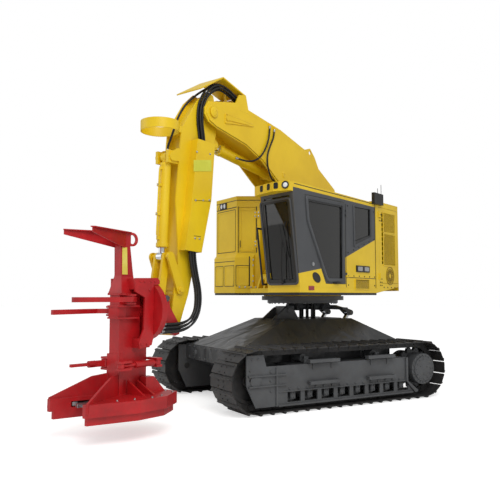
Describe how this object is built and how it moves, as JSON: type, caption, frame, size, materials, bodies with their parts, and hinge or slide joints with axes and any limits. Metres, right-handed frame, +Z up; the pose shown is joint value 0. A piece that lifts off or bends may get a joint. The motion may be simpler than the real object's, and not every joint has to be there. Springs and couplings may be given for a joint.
{
  "type": "tracked feller buncher",
  "caption": "Levelling crawler felling machine: slewing cab and engine housing, gooseneck boom and stick, and a disc saw head with gathering arms.",
  "frame": {"origin": "slewing axis where it meets the ground", "axes": "+Z up along the slewing axis, -Y the upper structure's front, +X the machine's left; the undercarriage is turned 22.27 degrees under the upper structure"},
  "size_m": [4.8547, 8.1353, 5.447],
  "materials": {
    "yellow_paint": "gloss",
    "red_paint": "gloss",
    "dark_paint": "satin",
    "grey_paint": "satin",
    "track_steel": "worn",
    "chrome_rod": "polished",
    "smoked_glass": "polished",
    "seat_fabric": "matte",
    "hose_rubber": "matte",
    "engine_iron": "rough",
    "saw_steel": "worn"
  },
  "bodies": {
    "undercarriage": {"track_left": "track_steel", "track_right": "track_steel", "track_frames": "dark_paint", "idlers": "track_steel", "sprockets": "dark_paint", "track_rollers": "dark_paint", "track_steps": "dark_paint", "car_body": "dark_paint", "swivel_hoses": "hose_rubber"},
    "levelling_cross": {"level_cross": "dark_paint"},
    "levelling_barrels": {"level_ram_barrels": "dark_paint"},
    "levelling_rods": {"level_ram_rods": "chrome_rod"},
    "levelling_table": {"level_table": "dark_paint"},
    "upper": {"main_deck": "yellow_paint", "deck_rail": "dark_paint", "antenna_box": "dark_paint", "counterweight": "yellow_paint", "cab_shell": "yellow_paint", "cab_glass": "smoked_glass", "operator_seat": "seat_fabric", "engine_housing": "yellow_paint", "engine_block": "engine_iron", "rear_housing": "yellow_paint", "light_bar": "yellow_paint", "handrail": "dark_paint"},
    "door": {"cab_door": "grey_paint", "cab_door_glass": "smoked_glass"},
    "intake_door": {"grille_door": "yellow_paint"},
    "service_panel": {"service_door": "yellow_paint"},
    "boom": {"boom": "yellow_paint", "hose_guard": "yellow_paint", "nose_hoses": "hose_rubber", "hoop_hose": "hose_rubber", "ram_hose": "hose_rubber", "boom_hose": "hose_rubber"},
    "hoist_barrels": {"hoist_barrels": "yellow_paint"},
    "hoist_rods": {"hoist_rods": "chrome_rod"},
    "stick": {"stick": "yellow_paint", "hose_box": "yellow_paint", "hose_hoop": "yellow_paint", "head_hoses": "hose_rubber"},
    "stick_barrel": {"stick_ram_barrel": "yellow_paint"},
    "stick_rod": {"stick_ram_rod": "chrome_rod"},
    "wrist": {"wrist": "red_paint"},
    "tilt_idlers": {"idler_links": "yellow_paint"},
    "tilt_links": {"push_links": "yellow_paint"},
    "tilt_barrel": {"tilt_ram_barrel": "yellow_paint"},
    "tilt_rod": {"tilt_ram_rod": "chrome_rod"},
    "head": {"head_bracket": "red_paint", "mast": "red_paint", "horn": "red_paint", "saw_housing": "red_paint", "side_ram": "red_paint"},
    "low_arm": {"low_arm": "red_paint"},
    "saw": {"saw_disc": "saw_steel"},
    "harvest_arm": {"harvest_arm": "red_paint"},
    "collector_arm": {"collector_arm": "red_paint"}
  },
  "joints": [
    {"name": "level_pitch", "type": "hinge", "parent": "undercarriage", "child": "levelling_cross", "pos_m": [-0.17319, -0.42291, 1.6], "axis": [0.9254, -0.379, 0], "range_deg": [-7, 27], "deforming": ["swivel_hoses"]},
    {"name": "level_ram_turn", "type": "hinge", "parent": "undercarriage", "child": "levelling_barrels", "pos_m": [0.07579, 0.18508, 0.66], "axis": [0.9254, -0.379, 0], "range_deg": [-4.9, 17.4]},
    {"name": "level_ram_slide", "type": "slide", "parent": "levelling_barrels", "child": "levelling_rods", "axis": [0.2243, 0.5478, 0.806], "range_m": [-0.13, 0.492]},
    {"name": "level_roll", "type": "hinge", "parent": "levelling_cross", "child": "levelling_table", "pos_m": [0, 0, 1.665], "axis": [-0.379, -0.9254, 0], "range_deg": [-15, 15]},
    {"name": "slew", "type": "hinge", "parent": "levelling_table", "child": "upper", "pos_m": [0, 0, 1.83], "axis": [0, 0, 1], "continuous": true},
    {"name": "cab_door_hinge", "type": "hinge", "parent": "upper", "child": "door", "pos_m": [1.462, -0.861, 2.7], "axis": [0, 0, 1], "range_deg": [0, 115]},
    {"name": "grille_door_hinge", "type": "hinge", "parent": "upper", "child": "intake_door", "pos_m": [1.462, 0.436, 2.8], "axis": [0, 0, -1], "range_deg": [0, 110]},
    {"name": "service_door_hinge", "type": "hinge", "parent": "upper", "child": "service_panel", "pos_m": [-0.4212, -0.9434, 3.09], "axis": [0, 0, 1], "range_deg": [0, 100]},
    {"name": "boom_lift", "type": "hinge", "parent": "upper", "child": "boom", "pos_m": [0, 0.65, 2.65], "axis": [-1, 0, 0], "range_deg": [-15, 25]},
    {"name": "hoist_ram_turn", "type": "hinge", "parent": "upper", "child": "hoist_barrels", "pos_m": [0, -1, 2.205], "axis": [-1, 0, 0], "range_deg": [-3.2, 2.1]},
    {"name": "hoist_ram_slide", "type": "slide", "parent": "hoist_barrels", "child": "hoist_rods", "axis": [0, 0.6863, 0.7274], "range_m": [-0.241, 0.399]},
    {"name": "stick_swing", "type": "hinge", "parent": "boom", "child": "stick", "pos_m": [0, -3, 4.79], "axis": [1, 0, 0], "range_deg": [-60, 12], "deforming": ["nose_hoses", "hoop_hose"]},
    {"name": "stick_ram_turn", "type": "hinge", "parent": "boom", "child": "stick_barrel", "pos_m": [0, -1.05, 4.092], "axis": [1, 0, 0], "range_deg": [-1.2, 3.9], "deforming": ["ram_hose"]},
    {"name": "stick_ram_slide", "type": "slide", "parent": "stick_barrel", "child": "stick_rod", "axis": [0, -0.9902, 0.1396], "range_m": [-0.106, 0.514]},
    {"name": "head_tilt", "type": "hinge", "parent": "stick", "child": "wrist", "pos_m": [0, -3.725, 1.382], "axis": [-1, 0, 0], "range_deg": [-55, 7], "deforming": ["head_hoses"]},
    {"name": "idler_turn", "type": "hinge", "parent": "stick", "child": "tilt_idlers", "pos_m": [0, -3.626, 1.965], "axis": [1, 0, 0], "range_deg": [-7.3, 53.6]},
    {"name": "push_turn", "type": "hinge", "parent": "wrist", "child": "tilt_links", "pos_m": [0, -3.926, 1.836], "axis": [1, 0, 0], "range_deg": [-53.8, 7.3]},
    {"name": "tilt_ram_turn", "type": "hinge", "parent": "stick", "child": "tilt_barrel", "pos_m": [0, -3.76, 3.96], "axis": [1, 0, 0], "range_deg": [-11.4, 1.9]},
    {"name": "tilt_ram_slide", "type": "slide", "parent": "tilt_barrel", "child": "tilt_rod", "axis": [0, -0.0463, -0.9989], "range_m": [-0.049, 0.362]},
    {"name": "head_rotate", "type": "hinge", "parent": "wrist", "child": "head", "pos_m": [0, -4.215, 1.67], "axis": [0, 1, 0], "range_deg": [-20, 20]},
    {"name": "saw_spin", "type": "hinge", "parent": "head", "child": "saw", "pos_m": [0, -4.62, 0.455], "axis": [0, 0, 1], "continuous": true},
    {"name": "harvest_arm_swing", "type": "hinge", "parent": "head", "child": "harvest_arm", "pos_m": [0.215, -4.59, 1.825], "axis": [0, 0, 1], "range_deg": [-45, 40]},
    {"name": "collector_arm_swing", "type": "hinge", "parent": "head", "child": "collector_arm", "pos_m": [-0.215, -4.59, 1.662], "axis": [0, 0, -1], "range_deg": [-45, 40]},
    {"name": "low_arm_swing", "type": "hinge", "parent": "head", "child": "low_arm", "pos_m": [-0.215, -4.66, 0.95], "axis": [0, 0, -1], "range_deg": [-40, 35]}
  ],
  "couplings": [
    {"joint": "level_ram_turn", "follows": "level_pitch", "ratio": 0.62386},
    {"joint": "level_ram_slide", "follows": "level_pitch", "m_per_rad": 1.0357},
    {"joint": "hoist_ram_turn", "follows": "boom_lift", "ratio": -0.10574},
    {"joint": "hoist_ram_slide", "follows": "boom_lift", "m_per_rad": 0.90564},
    {"joint": "stick_ram_turn", "follows": "stick_swing", "ratio": -0.055629},
    {"joint": "stick_ram_slide", "follows": "stick_swing", "m_per_rad": -0.48767},
    {"joint": "idler_turn", "follows": "head_tilt", "ratio": -0.9654},
    {"joint": "push_turn", "follows": "head_tilt", "ratio": 0.96856},
    {"joint": "tilt_ram_turn", "follows": "head_tilt", "ratio": 0.19779},
    {"joint": "tilt_ram_slide", "follows": "head_tilt", "m_per_rad": -0.37331}
  ]
}
